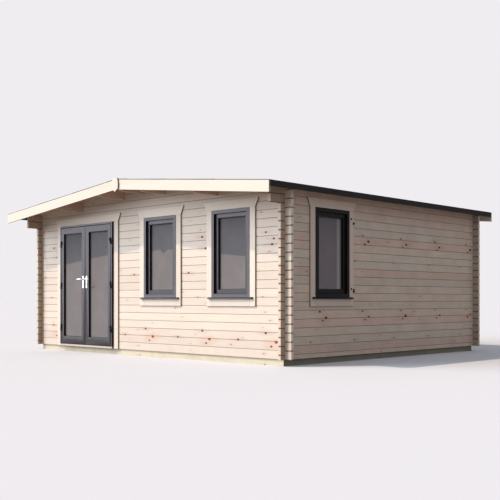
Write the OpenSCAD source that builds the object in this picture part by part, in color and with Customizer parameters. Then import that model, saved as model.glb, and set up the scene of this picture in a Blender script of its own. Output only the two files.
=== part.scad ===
// Log cabin: one room of interlocked wall logs under a low ridge roof, with a
// double glazed door and three windows. Millimetres, +Z up, front faces -Y.
// The origin is under the middle of the roof, at the underside of the base.

/* [Walls] */
// Width of the cabin over the outer faces of its side walls
wall_w = 5440; // [5060:10:7200]
// Depth of the cabin over the outer faces of its front and rear walls
wall_d = 4540; // [3200:10:6600]
// Thickness of a wall log
log_t = 44; // [34:1:70]
// Height that one log covers
log_h = 109; // [98:1:132]
// Whole logs in a side wall, above the half log that it starts with
side_logs = 19; // [19:1:23]
// Depth of the groove along each joint, on both faces of a wall
groove = 5; // [2:1:8]
// Depth of the notch at each joint on the ends of the logs
end_groove = 12; // [2:1:20]
// How far the front and rear logs run past the side walls
front_log_end = 100; // [40:5:150]
// How far the side logs run past the front and rear walls
side_log_end = 80; // [40:5:150]
// How far the topmost side logs run out under the front of the roof
corbel_out = 258; // [120:2:400]

/* [Base and floor] */
// Height of the base timbers under the walls
base_h = 82; // [50:1:140]
// Width of a base timber
base_w = 70; // [45:1:120]
// Setback of the base behind the front wall's face
base_front_inset = 18; // [0:1:30]
// Setback of the base from the side walls' faces
base_side_inset = 40; // [10:1:60]
// Setback of the base from the rear wall's face
base_rear_inset = 14; // [0:1:30]
// Thickness of the floor boards
floor_t = 19; // [15:1:28]
// Number of floor joists
joist_count = 7; // [3:1:12]
// Width of a floor joist
joist_w = 45; // [35:1:70]

/* [Roof] */
// Pitch of the roof in degrees
roof_pitch = 5.7; // [4:0.1:9]
// Thickness of the roof boards
board_t = 18; // [14:1:28]
// Gap between the roof boards and the walls and purlins that carry them
board_gap = 0.3; // [0.2:0.1:1]
// Thickness of the roofing sheet
sheet_t = 5; // [3:1:8]
// How far the roof runs out past the front wall
front_overhang = 500; // [300:5:900]
// How far the roof runs out past the rear wall
rear_overhang = 212; // [120:2:500]
// How far the roof runs out past each side wall
side_overhang = 195; // [130:5:400]
// Thickness of the bargeboards, the eaves boards and the finials
barge_t = 22; // [16:1:30]
// Upright height of a bargeboard
barge_h = 141; // [110:1:200]
// Height of an eaves board
eaves_h = 68; // [40:1:100]
// Width of a purlin
purlin_w = 44; // [35:1:70]
// Height of a purlin
purlin_h = 140; // [110:1:170]
// Length over which a purlin's underside rises at each end
purlin_taper = 90; // [30:5:90]
// How far a purlin's underside rises at its ends
purlin_rise = 26; // [5:1:50]
// Distance of the upper purlins from the ridge
upper_purlin = 470; // [300:5:900]
// Distance of the lower purlins from the ridge
lower_purlin = 1525; // [1100:5:2200]
// Width of a finial at its middle
finial_w = 138; // [80:2:180]
// Height of a finial
finial_h = 194; // [170:2:260]
// Height of a finial above the roofing sheet
finial_up = 12; // [0:1:30]
// Height of the point below a finial
finial_point = 46; // [5:1:60]
// Radius of a finial's bowed sides
finial_bow = 290; // [160:10:600]

/* [Openings] */
// Log heights from the foot of the walls up to the head of door and windows
head_logs = 17.5; // [16.5:1:17.5]
// Log heights from the foot of the walls up to the windows' sills
sill_logs = 7; // [5:1:10]
// Gap between a door or window frame and the logs around it
frame_gap = 2; // [1:1:6]
// Thickness of the trim boards
trim_t = 19; // [12:1:28]
// Height of a head trim
head_trim_h = 115; // [80:1:125]
// How much wider a head trim is at its top, each side
head_flare = 57; // [0:1:90]

/* [Door] */
// Distance of the door's middle from the left wall's face
door_from_left = 1325; // [1200:5:1400]
// Width of the door frame
door_w = 1376; // [1100:4:1640]
// Width of the door's trim boards
door_trim_w = 115; // [90:5:180]
// Width of the door frame's face
door_frame_face = 35; // [28:1:60]
// How far the door frame stands out past the trim
door_frame_out = 24; // [4:1:40]
// Depth of the door frame
door_frame_depth = 108; // [90:1:150]
// Height of the threshold
threshold_h = 30; // [20:1:50]
// Thickness of a door leaf
leaf_t = 56; // [44:1:70]
// How far the frame's stop reaches behind a leaf
stop_lap = 16; // [8:1:24]
// How far a leaf's face stands out past the frame
leaf_out = 0; // [0:1:12]
// Gap around each leaf
leaf_gap = 6; // [5:1:10]
// Width of a leaf's hinge stile
hinge_stile = 70; // [60:1:110]
// Width of a leaf's meeting stile
meeting_stile = 92; // [70:1:120]
// Height of a leaf's top rail
top_rail = 94; // [70:1:140]
// Height of a leaf's bottom rail
bottom_rail = 116; // [80:1:200]
// Thickness of a double glazing unit
glass_t = 20; // [12:1:28]
// How far the glass lies behind the face of its leaf or sash
glass_back = 31; // [10:1:34]
// How far the glass is held in its groove
glass_held = 10; // [5:1:15]
// Radius of a hinge knuckle
knuckle_r = 8; // [6:0.5:10]
// Height of a hinge
hinge_h = 96; // [60:2:140]
// Reach of a hinge's flap over its leaf
flap_w = 40; // [25:1:60]
// Thickness of a hinge's flap
flap_t = 3; // [2:0.5:5]
// Reach of a hinge's foot over the frame
foot_w = 22; // [12:1:26]
// Height of the door handles above the foot of the walls
handle_up = 1052; // [850:2:1150]
// Distance of a handle from the meeting edge of its leaf
handle_in = 42; // [30:1:50]
// Width of a handle's plate
plate_w = 36; // [20:1:50]
// Thickness of a handle's plate
plate_t = 8; // [4:1:12]
// Height of a plate above its lever
plate_above = 50; // [30:2:80]
// Height of a plate below its lever
plate_below = 140; // [60:2:200]
// Distance of a lever's middle from the face of its leaf
lever_out = 50; // [35:1:60]
// Length of a door handle's lever
lever_l = 122; // [90:2:150]
// Radius of a door handle's lever
lever_r = 9; // [7:0.5:12]

/* [Windows] */
// Distances of the front windows' middles from the right wall's face
front_window_from_right = [2350, 935];
// Distance of the side window's middle from the front wall's face
side_window_from_front = 905; // [700:5:2200]
// Width of a window frame
window_w = 700; // [560:10:840]
// Depth of a window frame
window_depth = 110; // [96:1:140]
// Width of a window frame's face
window_face = 48; // [36:1:70]
// How far a window frame stands out past the trim
window_out = 4; // [0:1:20]
// Width of a window's upright trim boards
window_trim_w = 97; // [80:1:120]
// Height of the board under a window
window_foot_h = 115; // [80:1:120]
// Width of a sash's bars
sash_face = 54; // [40:1:80]
// Thickness of a sash
sash_t = 60; // [54:1:66]
// How far a sash lies behind the face of its frame
sash_back = 30; // [20:1:36]
// How far a sill runs past its frame, each side
sill_side = 60; // [20:1:80]
// How far a sill stands out past the trim
sill_out = 28; // [20:1:70]
// Depth of a sill below the foot of its frame
sill_t = 20; // [12:1:30]
// How far a sill's top falls away, below and above the foot of its frame
sill_fall = 5; // [2:1:8]

/* [Hidden] */
$fn = 48;
half_w = wall_w / 2;
roof_half_w = half_w + side_overhang;
roof_len = front_overhang + wall_d + rear_overhang;
roof_front = -roof_len / 2;
roof_rear = roof_len / 2;
front_y = roof_front + front_overhang;
rear_y = front_y + wall_d;
slope = tan(roof_pitch);
wall_top = base_h + (side_logs + 0.5) * log_h;
ridge_top = wall_top + slope * half_w;
head_z = base_h + head_logs * log_h;
sill_z = base_h + sill_logs * log_h;
window_h = head_z - sill_z;
front_log_count = ceil((ridge_top - base_h) / log_h);
front_joints = [for (k = [0 : front_log_count]) base_h + k * log_h];
side_joints = [for (k = [0 : side_logs]) base_h + (k + 0.5) * log_h];
door_x = -half_w + door_from_left;
door_front = front_y - trim_t - door_frame_out;
door_back = door_front + door_frame_depth;
leaf_front = door_front - leaf_out;
leaf_bottom = base_h + threshold_h + leaf_gap;
leaf_top = head_z - frame_gap - door_frame_face;
leaf_h = leaf_top - leaf_bottom;
leaf_side = door_w / 2 - door_frame_face;
leaf_w = leaf_side - leaf_gap / 2;
pin_y = leaf_front - knuckle_r;
pin_side = leaf_side + leaf_gap / 2;
handle_z = base_h + handle_up;
hinge_heights = [for (share = [0.14, 0.5, 0.86]) leaf_bottom + share * leaf_h];
timber = "#ead2ae";
trim_colour = "#f4e4c8";
treated = "#c9bd93";
anthracite = "#4a4a52";
roofing = "#202022";
pane = "#8d8a88";
chrome = "#e6e6ea";

// Height of the roof boards' underside at a distance x from the ridge
function roof_under(x) = ridge_top - slope * abs(x);

// Turns an outline drawn in X and Z into a plate from y0 to y1
module across(y0, y1) {
    translate([0, y1, 0]) rotate([90, 0, 0]) linear_extrude(y1 - y0) children();
}

// Turns an outline drawn in Y and Z into a bar from x0 to x1
module along(x0, x1) {
    translate([x0, 0, 0]) rotate([90, 0, 90]) linear_extrude(x1 - x0) children();
}

// A box between two corners
module block(low, high) {
    translate(low) cube([high[0] - low[0], high[1] - low[1], high[2] - low[2]]);
}

// One side of an outline, notched to a depth at each joint between two heights
function notched(side, dir, joints, low, high, depth) = [
    for (z = joints) if (z - depth > low && z + depth < high)
        for (step = [-1, 0, 1]) [side - (step == 0 ? dir * depth : 0), z + step * depth]
];

function backwards(list) = [for (i = [len(list) - 1 : -1 : 0]) list[i]];

// Section of a stack of logs from a to b, grooved along its joints on both faces
module log_section(a, b, joints, low, high) {
    polygon(concat(
        [[b, low]], notched(b, 1, joints, low, high, groove), [[b, high]],
        [[a, high]], backwards(notched(a, -1, joints, low, high, groove)), [[a, low]]
    ));
}

// Notches that let the crossing wall's logs pass, a quarter log each side of a joint
module crossing_notches(x0, y0, joints) {
    for (z = joints) block([x0, y0, z - log_h / 4], [x0 + log_t, y0 + log_t, z + log_h / 4]);
}

// Outline under the roof from one log end to the other, with notched ends
module gable_outline(low, high) {
    reach = half_w + front_log_end;
    top = min(high, roof_under(reach));
    peak = min(high, ridge_top);
    polygon(concat(
        [[reach, low]], notched(reach, 1, front_joints, low, top, end_groove), [[reach, top]],
        [[0, peak]],
        [[-reach, top]], backwards(notched(-reach, -1, front_joints, low, top, end_groove)), [[-reach, low]]
    ));
}

// A whole gable wall whose outer face is at y0, before openings are cut in it
module gable_wall(y0, low, high) {
    difference() {
        intersection() {
            across(y0, y0 + log_t) gable_outline(low, high);
            along(-roof_half_w, roof_half_w) log_section(y0, y0 + log_t, front_joints, low, high);
        }
        for (x0 = [-half_w, half_w - log_t]) crossing_notches(x0, y0, front_joints);
        purlin_set([-1, 0, 1]);
    }
}

module door_hole() {
    reach = door_w / 2 + frame_gap;
    block([door_x - reach, front_y - 1, base_h - 1], [door_x + reach, front_y + log_t + 1, head_z]);
}

// Places its children at a window's middle: number 0 and 1 are in front, 2 is in the right wall
module at_window(number) {
    if (number < 2) translate([half_w - front_window_from_right[number], front_y, 0]) children();
    else translate([half_w, front_y + side_window_from_front, 0]) rotate([0, 0, 90]) children();
}

module window_hole(number) {
    reach = window_w / 2 + frame_gap;
    at_window(number) block([-reach, -1, sill_z - frame_gap], [reach, log_t + 1, head_z]);
}

module front_openings() {
    door_hole();
    window_hole(0);
    window_hole(1);
}

module base_frame() {
    color(treated) difference() {
        block([-half_w + base_side_inset, front_y + base_front_inset, 0],
              [half_w - base_side_inset, rear_y - base_rear_inset, base_h]);
        block([-half_w + base_side_inset + base_w, front_y + base_front_inset + base_w, -1],
              [half_w - base_side_inset - base_w, rear_y - base_rear_inset - base_w, base_h + 1]);
    }
}

module floor_joists() {
    inner = half_w - base_side_inset - base_w;
    pitch = 2 * inner / (joist_count + 1);
    color(treated) for (k = [1 : joist_count])
        block([-inner + k * pitch - joist_w / 2, front_y + base_front_inset + base_w, 0],
              [-inner + k * pitch + joist_w / 2, rear_y - base_rear_inset - base_w, base_h]);
}

module floor_boards() {
    color(timber) block([-half_w + log_t, front_y + log_t, base_h],
                        [half_w - log_t, rear_y - log_t, base_h + floor_t]);
}

module front_wall_left() {
    color(timber) difference() {
        gable_wall(front_y, base_h, head_z);
        front_openings();
        block([door_x, front_y - 1, 0], [roof_half_w, front_y + log_t + 1, ridge_top]);
    }
}

module front_wall_right() {
    color(timber) difference() {
        gable_wall(front_y, base_h, head_z);
        front_openings();
        block([-roof_half_w, front_y - 1, 0], [door_x, front_y + log_t + 1, ridge_top]);
    }
}

module front_gable() {
    color(timber) gable_wall(front_y, head_z, ridge_top);
}

module rear_wall() {
    color(timber) gable_wall(rear_y - log_t, base_h, ridge_top);
}

// Outline of a side wall in Y and Z, with the corbel under the front of the roof
module side_outline(top) {
    front = front_y - side_log_end;
    rear = rear_y + side_log_end;
    corbel_z = base_h + (side_logs - 1.5) * log_h;
    corbel = front_y - corbel_out;
    polygon(concat(
        [[rear, base_h]], notched(rear, 1, side_joints, base_h, top, end_groove), [[rear, top]],
        [[corbel, top]], backwards(notched(corbel, -1, side_joints, corbel_z + end_groove, top, end_groove)),
        [[corbel, corbel_z]],
        [[front, corbel_z]], backwards(notched(front, -1, side_joints, base_h, corbel_z, end_groove)),
        [[front, base_h]]
    ));
}

// A side wall on the right, whose outer face is at half_w
module side_wall() {
    inner = half_w - log_t;
    top = roof_under(inner);
    difference() {
        intersection() {
            along(inner, half_w) side_outline(top);
            across(roof_front, roof_rear) log_section(inner, half_w, side_joints, base_h, top);
            across(roof_front, roof_rear) polygon([
                [inner, 0], [half_w, 0], [half_w, roof_under(half_w)], [inner, top]
            ]);
        }
        for (y0 = [front_y, rear_y - log_t]) crossing_notches(inner, y0, side_joints);
    }
}

module left_wall() {
    color(timber) mirror([1, 0, 0]) side_wall();
}

module right_wall() {
    color(timber) difference() {
        side_wall();
        window_hole(2);
    }
}

// A purlin whose middle is at a distance x from the ridge, its top sloped to carry the roof boards
module purlin(middle) {
    low = roof_under(middle) - purlin_h;
    left = middle - purlin_w / 2;
    right = middle + purlin_w / 2;
    end = roof_len / 2 - barge_t;
    difference() {
        across(-end, end) polygon([
            [left, low], [right, low], [right, roof_under(right)],
            [middle, roof_under(middle)], [left, roof_under(left)]
        ]);
        for (side = [-1, 1]) along(left, right) polygon([
            [side * (end - purlin_taper), low], [side * end, low], [side * end, low + purlin_rise]
        ]);
    }
}

module purlin_set(sides) {
    for (side = sides) {
        if (side == 0) purlin(0);
        else for (reach = [upper_purlin, lower_purlin]) purlin(side * reach);
    }
}

module ridge_purlin() { color(timber) purlin_set([0]); }
module left_purlins() { color(timber) purlin_set([-1]); }
module right_purlins() { color(timber) purlin_set([1]); }

// A strip that follows the right half of the roof, from x0 to x1 and between two heights over it
module roof_strip(x0, x1, low, high, y0, y1) {
    across(y0, y1) polygon([
        [x0, roof_under(x0) + low], [x1, roof_under(x1) + low],
        [x1, roof_under(x1) + high], [x0, roof_under(x0) + high]
    ]);
}

module roof_boards() {
    roof_strip(0, roof_half_w - barge_t, board_gap, board_t, roof_front + barge_t, roof_rear - barge_t);
}

module roof_boards_left() { color(timber) mirror([1, 0, 0]) roof_boards(); }
module roof_boards_right() { color(timber) roof_boards(); }

module roof_sheet() {
    color(roofing) across(roof_front, roof_rear) polygon([
        [0, ridge_top + board_t],
        [roof_half_w, roof_under(roof_half_w) + board_t],
        [roof_half_w, roof_under(roof_half_w) + board_t + sheet_t],
        [0, ridge_top + board_t + sheet_t],
        [-roof_half_w, roof_under(roof_half_w) + board_t + sheet_t],
        [-roof_half_w, roof_under(roof_half_w) + board_t]
    ]);
}

module eaves_board() {
    roof_strip(roof_half_w - barge_t, roof_half_w, board_t - eaves_h, board_t,
               roof_front + barge_t, roof_rear - barge_t);
}

module eaves_board_left() { color(roofing) mirror([1, 0, 0]) eaves_board(); }
module eaves_board_right() { color(roofing) eaves_board(); }

module bargeboard(y0) {
    roof_strip(0, roof_half_w, board_t - barge_h, board_t, y0, y0 + barge_t);
}

module bargeboard_front_left() { color(trim_colour) mirror([1, 0, 0]) bargeboard(roof_front); }
module bargeboard_front_right() { color(trim_colour) bargeboard(roof_front); }
module bargeboard_rear_left() { color(trim_colour) mirror([1, 0, 0]) bargeboard(roof_rear - barge_t); }
module bargeboard_rear_right() { color(trim_colour) bargeboard(roof_rear - barge_t); }

// A board with bowed sides and a blunt point below, over the joint of two bargeboards
module finial(y0) {
    shoulder = finial_point - finial_h / 2;
    top = ridge_top + board_t + sheet_t + finial_up;
    across(y0, y0 + barge_t) translate([0, top - finial_h / 2]) intersection() {
        translate([finial_w / 2 - finial_bow, 0]) circle(finial_bow, $fn = 180);
        translate([finial_bow - finial_w / 2, 0]) circle(finial_bow, $fn = 180);
        polygon([
            [-finial_w / 2, finial_h / 2], [-finial_w / 2, shoulder], [0, -finial_h / 2],
            [finial_w / 2, shoulder], [finial_w / 2, finial_h / 2]
        ]);
    }
}

module finial_front() { color(trim_colour) finial(roof_front - barge_t); }
module finial_rear() { color(trim_colour) finial(roof_rear); }

// Two posts and a head in one piece, outer_side and outer_top outside, inner_side and inner_top inside
module portal(outer_side, outer_top, inner_side, inner_top, y0, y1) {
    translate([door_x, 0, 0]) difference() {
        block([-outer_side, y0, base_h + threshold_h], [outer_side, y1, outer_top]);
        block([-inner_side, y0 - 1, base_h], [inner_side, y1 + 1, inner_top]);
    }
}

module door_frame() {
    color(anthracite) portal(door_w / 2, head_z - frame_gap,
                             leaf_side + leaf_gap, leaf_top + leaf_gap, door_front, door_back);
}

// The stop that the leaves close against, inside the frame
module door_stop() {
    color(anthracite) portal(leaf_side + leaf_gap, leaf_top + leaf_gap,
                             leaf_side - stop_lap, leaf_top - stop_lap,
                             leaf_front + leaf_t + leaf_gap, door_back);
}

module door_threshold() {
    reach = door_w / 2;
    color(trim_colour) block([door_x - reach, front_y - trim_t - door_frame_out, base_h],
                             [door_x + reach, front_y + log_t, base_h + threshold_h]);
}

// Side and head trims around an opening as one outline in X and Z
module trim_outline(reach, board, low, sill) {
    outer = reach + board;
    difference() {
        union() {
            translate([-outer, low]) square([2 * outer, head_z - low]);
            polygon([
                [-outer, head_z], [outer, head_z],
                [outer + head_flare, head_z + head_trim_h], [-outer - head_flare, head_z + head_trim_h]
            ]);
        }
        translate([-reach, sill]) square([2 * reach, head_z - frame_gap - sill]);
    }
}

module door_trim() {
    color(trim_colour) translate([door_x, 0, 0]) across(front_y - trim_t, front_y)
        trim_outline(door_w / 2, door_trim_w, base_h, base_h - 1);
}

// One leaf as it lies on the right of the door's middle
module leaf() {
    x0 = leaf_gap / 2;
    difference() {
        block([x0, leaf_front, leaf_bottom], [leaf_side, leaf_front + leaf_t, leaf_top]);
        leaf_light(0, leaf_front - 1, leaf_front + leaf_t + 1);
        leaf_light(glass_held, leaf_front + glass_back, leaf_front + glass_back + glass_t);
    }
}

// The glazed area of a leaf, made larger by its rim, between two depths
module leaf_light(rim, y0, y1) {
    block([leaf_gap / 2 + meeting_stile - rim, y0, leaf_bottom + bottom_rail - rim],
          [leaf_side - hinge_stile + rim, y1, leaf_top - top_rail + rim]);
}

module leaf_glass() {
    leaf_light(glass_held, leaf_front + glass_back, leaf_front + glass_back + glass_t);
}

// The knuckles of a leaf's hinges, with a thin flap on the leaf
module leaf_hinges() {
    for (z = hinge_heights) {
        translate([pin_side, pin_y, z]) cylinder(h = hinge_h / 2, r = knuckle_r);
        block([pin_side - flap_w, leaf_front - flap_t, z], [leaf_side, leaf_front, z + hinge_h / 2]);
    }
}

// The lower knuckles of the hinges of one leaf, with a foot on the frame
module frame_hinges() {
    for (z = hinge_heights) {
        translate([pin_side, pin_y, z - hinge_h / 2]) cylinder(h = hinge_h / 2 - 1, r = knuckle_r);
        block([pin_side + 1, pin_y, z - hinge_h / 2], [pin_side + foot_w, door_front, z - 1]);
    }
}

// Outer and inner plates and levers of a leaf, pointing away from the meeting stile
module leaf_handle() {
    x = leaf_gap / 2 + handle_in;
    for (face = [leaf_front - plate_t, leaf_front + leaf_t])
        block([x - plate_w / 2, face, handle_z - plate_below],
              [x + plate_w / 2, face + plate_t, handle_z + plate_above]);
    for (neck = [leaf_front - lever_out, leaf_front + leaf_t])
        translate([x, neck, handle_z]) rotate([-90, 0, 0]) cylinder(h = lever_out, r = lever_r);
    for (lever = [leaf_front - lever_out, leaf_front + leaf_t + lever_out])
        translate([x - lever_r, lever, handle_z]) rotate([0, 90, 0]) cylinder(h = lever_l, r = lever_r);
}

module on_left_leaf() { translate([door_x, 0, 0]) mirror([1, 0, 0]) children(); }
module on_right_leaf() { translate([door_x, 0, 0]) children(); }

module door_frame_hinges() {
    color(anthracite) {
        on_left_leaf() frame_hinges();
        on_right_leaf() frame_hinges();
    }
}

module left_door_leaf() { color(anthracite) on_left_leaf() leaf(); }
module left_door_glass() { color(pane) on_left_leaf() leaf_glass(); }
module left_door_hinges() { color(anthracite) on_left_leaf() leaf_hinges(); }
module left_door_handle() { color(chrome) on_left_leaf() leaf_handle(); }
module right_door_leaf() { color(anthracite) on_right_leaf() leaf(); }
module right_door_glass() { color(pane) on_right_leaf() leaf_glass(); }
module right_door_hinges() { color(anthracite) on_right_leaf() leaf_hinges(); }
module right_door_handle() { color(chrome) on_right_leaf() leaf_handle(); }

// A window frame with its sill, drawn with the wall's outer face at y = 0
module window_frame() {
    reach = window_w / 2;
    front = -trim_t - window_out;
    back = front + window_depth;
    difference() {
        union() {
            block([-reach, front, sill_z], [reach, back, head_z - frame_gap]);
            along(-reach - sill_side, reach + sill_side) polygon([
                [-trim_t, sill_z - sill_t], [-trim_t - sill_out, sill_z - sill_t],
                [-trim_t - sill_out, sill_z - sill_fall], [-trim_t, sill_z + sill_fall]
            ]);
        }
        block([-reach + window_face, front - 1, sill_z + window_face],
              [reach - window_face, back + 1, head_z - frame_gap - window_face]);
    }
}

// The sash fills the frame's opening
module window_sash() {
    front = -trim_t - window_out + sash_back;
    difference() {
        sash_area(0, front, front + sash_t);
        sash_area(-sash_face, front - 1, front + sash_t + 1);
        sash_area(glass_held - sash_face, front + glass_back, front + glass_back + glass_t);
    }
}

// The frame's opening, made smaller or larger by its rim, between two depths
module sash_area(rim, y0, y1) {
    reach = window_w / 2 - window_face + rim;
    block([-reach, y0, sill_z + window_face - rim], [reach, y1, head_z - frame_gap - window_face + rim]);
}

module window_glass() {
    front = -trim_t - window_out + sash_back + glass_back;
    sash_area(glass_held - sash_face, front, front + glass_t);
}

module window_trim() {
    across(-trim_t, 0) trim_outline(window_w / 2, window_trim_w, sill_z - window_foot_h, sill_z);
}

module window_1_frame() { color(anthracite) at_window(0) window_frame(); }
module window_1_sash() { color(anthracite) at_window(0) window_sash(); }
module window_1_glass() { color(pane) at_window(0) window_glass(); }
module window_1_trim() { color(trim_colour) at_window(0) window_trim(); }
module window_2_frame() { color(anthracite) at_window(1) window_frame(); }
module window_2_sash() { color(anthracite) at_window(1) window_sash(); }
module window_2_glass() { color(pane) at_window(1) window_glass(); }
module window_2_trim() { color(trim_colour) at_window(1) window_trim(); }
module side_window_frame() { color(anthracite) at_window(2) window_frame(); }
module side_window_sash() { color(anthracite) at_window(2) window_sash(); }
module side_window_glass() { color(pane) at_window(2) window_glass(); }
module side_window_trim() { color(trim_colour) at_window(2) window_trim(); }

base_frame();
floor_joists();
floor_boards();
front_wall_left();
front_wall_right();
front_gable();
rear_wall();
left_wall();
right_wall();
ridge_purlin();
left_purlins();
right_purlins();
roof_boards_left();
roof_boards_right();
roof_sheet();
eaves_board_left();
eaves_board_right();
bargeboard_front_left();
bargeboard_front_right();
bargeboard_rear_left();
bargeboard_rear_right();
finial_front();
finial_rear();
door_frame();
door_stop();
door_threshold();
door_trim();
door_frame_hinges();
left_door_leaf();
left_door_glass();
left_door_hinges();
left_door_handle();
right_door_leaf();
right_door_glass();
right_door_hinges();
right_door_handle();
window_1_frame();
window_1_sash();
window_1_glass();
window_1_trim();
window_2_frame();
window_2_sash();
window_2_glass();
window_2_trim();
side_window_frame();
side_window_sash();
side_window_glass();
side_window_trim();
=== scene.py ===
import math

import bpy
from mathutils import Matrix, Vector


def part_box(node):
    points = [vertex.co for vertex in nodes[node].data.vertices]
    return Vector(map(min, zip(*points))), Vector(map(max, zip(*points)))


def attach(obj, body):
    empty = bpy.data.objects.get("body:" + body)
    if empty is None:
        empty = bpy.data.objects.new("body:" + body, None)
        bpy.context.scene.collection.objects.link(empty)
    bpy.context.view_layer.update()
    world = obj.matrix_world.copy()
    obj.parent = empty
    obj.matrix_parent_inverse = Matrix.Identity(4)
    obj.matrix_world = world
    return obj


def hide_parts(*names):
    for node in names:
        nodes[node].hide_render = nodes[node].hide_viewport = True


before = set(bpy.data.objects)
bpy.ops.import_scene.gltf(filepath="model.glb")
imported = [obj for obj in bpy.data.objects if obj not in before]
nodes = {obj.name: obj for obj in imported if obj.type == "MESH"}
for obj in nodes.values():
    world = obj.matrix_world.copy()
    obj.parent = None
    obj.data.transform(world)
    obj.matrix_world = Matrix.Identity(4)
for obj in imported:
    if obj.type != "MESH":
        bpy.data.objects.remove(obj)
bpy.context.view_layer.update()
scene = bpy.context.scene
scene.view_settings.view_transform = "Standard"
print("frame loaded:", len(nodes), "nodes")


# Node helpers: most add one node to a tree and give back its output

def feedInto(tree, made, feeds):                 # each input gets a plain value or another node's output
    for key, feed in feeds:
        if isinstance(feed, bpy.types.NodeSocket):
            tree.links.new(feed, made.inputs[key])
        elif feed is not None:
            made.inputs[key].default_value = feed
    return made


def addNode(tree, kind, feeds=(), **settings):
    made = tree.nodes.new(kind)
    for key, value in settings.items():
        setattr(made, key, value)
    return feedInto(tree, made, enumerate(feeds))


def maths(tree, operation, *feeds):
    return addNode(tree, "ShaderNodeMath", feeds, operation=operation).outputs[0]


def plus(tree, *feeds):
    return maths(tree, "ADD", *feeds)


def minus(tree, *feeds):
    return maths(tree, "SUBTRACT", *feeds)


def times(tree, *feeds):
    return maths(tree, "MULTIPLY", *feeds)


def timesPlus(tree, *feeds):                     # value, factor, addition
    return maths(tree, "MULTIPLY_ADD", *feeds)


def most(tree, masks):
    result = masks[0]
    for mask in masks[1:]:
        result = maths(tree, "MAXIMUM", result, mask)
    return result


def blendColour(tree, share, first, second, way="MIX"):
    made = addNode(tree, "ShaderNodeMix", data_type="RGBA", blend_type=way)
    ends = [feed if isinstance(feed, bpy.types.NodeSocket) else (*feed, 1) for feed in (first, second)]
    return feedInto(tree, made, ((0, share), (6, ends[0]), (7, ends[1]))).outputs[2]


def toned(tree, colour, tone):
    return blendColour(tree, 1.0, colour, tone, "MULTIPLY")


def fade(tree, value, low, high, start=0.0, end=1.0):
    feeds = (value, low, high, start, end)
    return addNode(tree, "ShaderNodeMapRange", feeds, interpolation_type="SMOOTHSTEP").outputs[0]


def vectorOf(tree, *parts):
    return addNode(tree, "ShaderNodeCombineXYZ", parts).outputs[0]


def partsOf(tree, vector):
    return addNode(tree, "ShaderNodeSeparateXYZ", (vector,)).outputs


def noise(tree, vector, scale=1.0, detail=2.0, roughness=0.5):
    feeds = (("Vector", vector), ("Scale", scale), ("Detail", detail), ("Roughness", roughness))
    return feedInto(tree, addNode(tree, "ShaderNodeTexNoise"), feeds).outputs[0]


def stretchedNoise(tree, parts, scales, shifts=(0.0, 0.0, 0.0), detail=2.0, roughness=0.5):
    place = [timesPlus(tree, *feeds) for feeds in zip(parts, scales, shifts)]
    return noise(tree, vectorOf(tree, *place), 1.0, detail, roughness)


def chance(tree, *parts):                        # three random values for one cell
    made = addNode(tree, "ShaderNodeTexWhiteNoise", (vectorOf(tree, *parts),), noise_dimensions="3D")
    return partsOf(tree, made.outputs["Color"])


def farness(tree, across, up):
    return maths(tree, "SQRT", plus(tree, times(tree, across, across), times(tree, up, up)))


def newGroup(name, takes, gives):
    tree = bpy.data.node_groups.new(name, "ShaderNodeTree")
    for way, labels in (("INPUT", takes), ("OUTPUT", gives)):
        for label in labels:
            tree.interface.new_socket(label, in_out=way, socket_type="NodeSocketFloat")
    return tree, tree.nodes.new("NodeGroupInput").outputs, tree.nodes.new("NodeGroupOutput").inputs


def useGroup(tree, group, *feeds):
    return addNode(tree, "ShaderNodeGroup", feeds, node_tree=group).outputs


def give(tree, ends, *outputs):
    for end, output in zip(ends, outputs):
        tree.links.new(output, end)


# Shared effects, built once and placed in each material with its own values

def makeCourses():                               # which board a point is on, and the joints between
    tree, takes, ends = newGroup("Courses", ["Height", "Start", "Rise", "Joint Width"],
                                 ["Board", "Middle", "Joint"])
    height, start, rise, width = takes[:4]
    steps = maths(tree, "DIVIDE", minus(tree, height, start), rise)
    board = maths(tree, "FLOOR", steps)
    middle = times(tree, minus(tree, minus(tree, steps, board), 0.5), rise)
    edge = minus(tree, times(tree, rise, 0.5), maths(tree, "ABSOLUTE", middle))
    give(tree, ends, board, middle, fade(tree, edge, 0.0, width, 1.0, 0.0))
    return tree


grainLook = {                                    # per metre: along, across and into the board
    "streaks": (0.9, 17.0, 17.0),
    "fibres": (13.0, 380.0, 380.0),
    "rings": 62.0,
    "ringWander": 4.0,
    "knotBend": 1.6,                             # how far the rings bend round a knot
}


def makeGrain():                                 # streaks, growth rings and fibres along a board
    tree, takes, ends = newGroup("Timber grain", ["Along", "Across", "Deep", "Board", "Bend"],
                                 ["Streaks", "Rings", "Fibres", "Height"])
    along, across, deep, board, bend = takes[:5]
    seed = times(tree, board, 3.17)              # sets each board apart from the next
    place, shifts = (along, across, deep), (seed, seed, 0.0)
    broad = stretchedNoise(tree, place, grainLook["streaks"], shifts, 3.0, 0.55)
    warped = timesPlus(tree, broad, grainLook["ringWander"], times(tree, across, grainLook["rings"]))
    warped = plus(tree, warped, times(tree, bend, grainLook["knotBend"]))
    rings = fade(tree, maths(tree, "SINE", times(tree, warped, math.tau)), -0.3, 1.0)
    fibres = stretchedNoise(tree, place, grainLook["fibres"], shifts, 2.0, 0.6)
    height = timesPlus(tree, fibres, 0.6, times(tree, rings, -0.4))
    give(tree, ends, fade(tree, broad, 0.42, 0.72), rings, fibres, height)
    return tree


knotLook = {                                     # flattening along the board, and where the edge fades
    "rowCore": (0.62, 0.6, 1.0),
    "rowHalo": (0.2, 0.8, 2.6),
    "looseCore": (0.7, 0.55, 1.0),
    "looseHalo": (0.25, 0.8, 3.0),
    "looseSpread": 0.42,                         # one loose knot at most in each such length of a board
}


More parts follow.
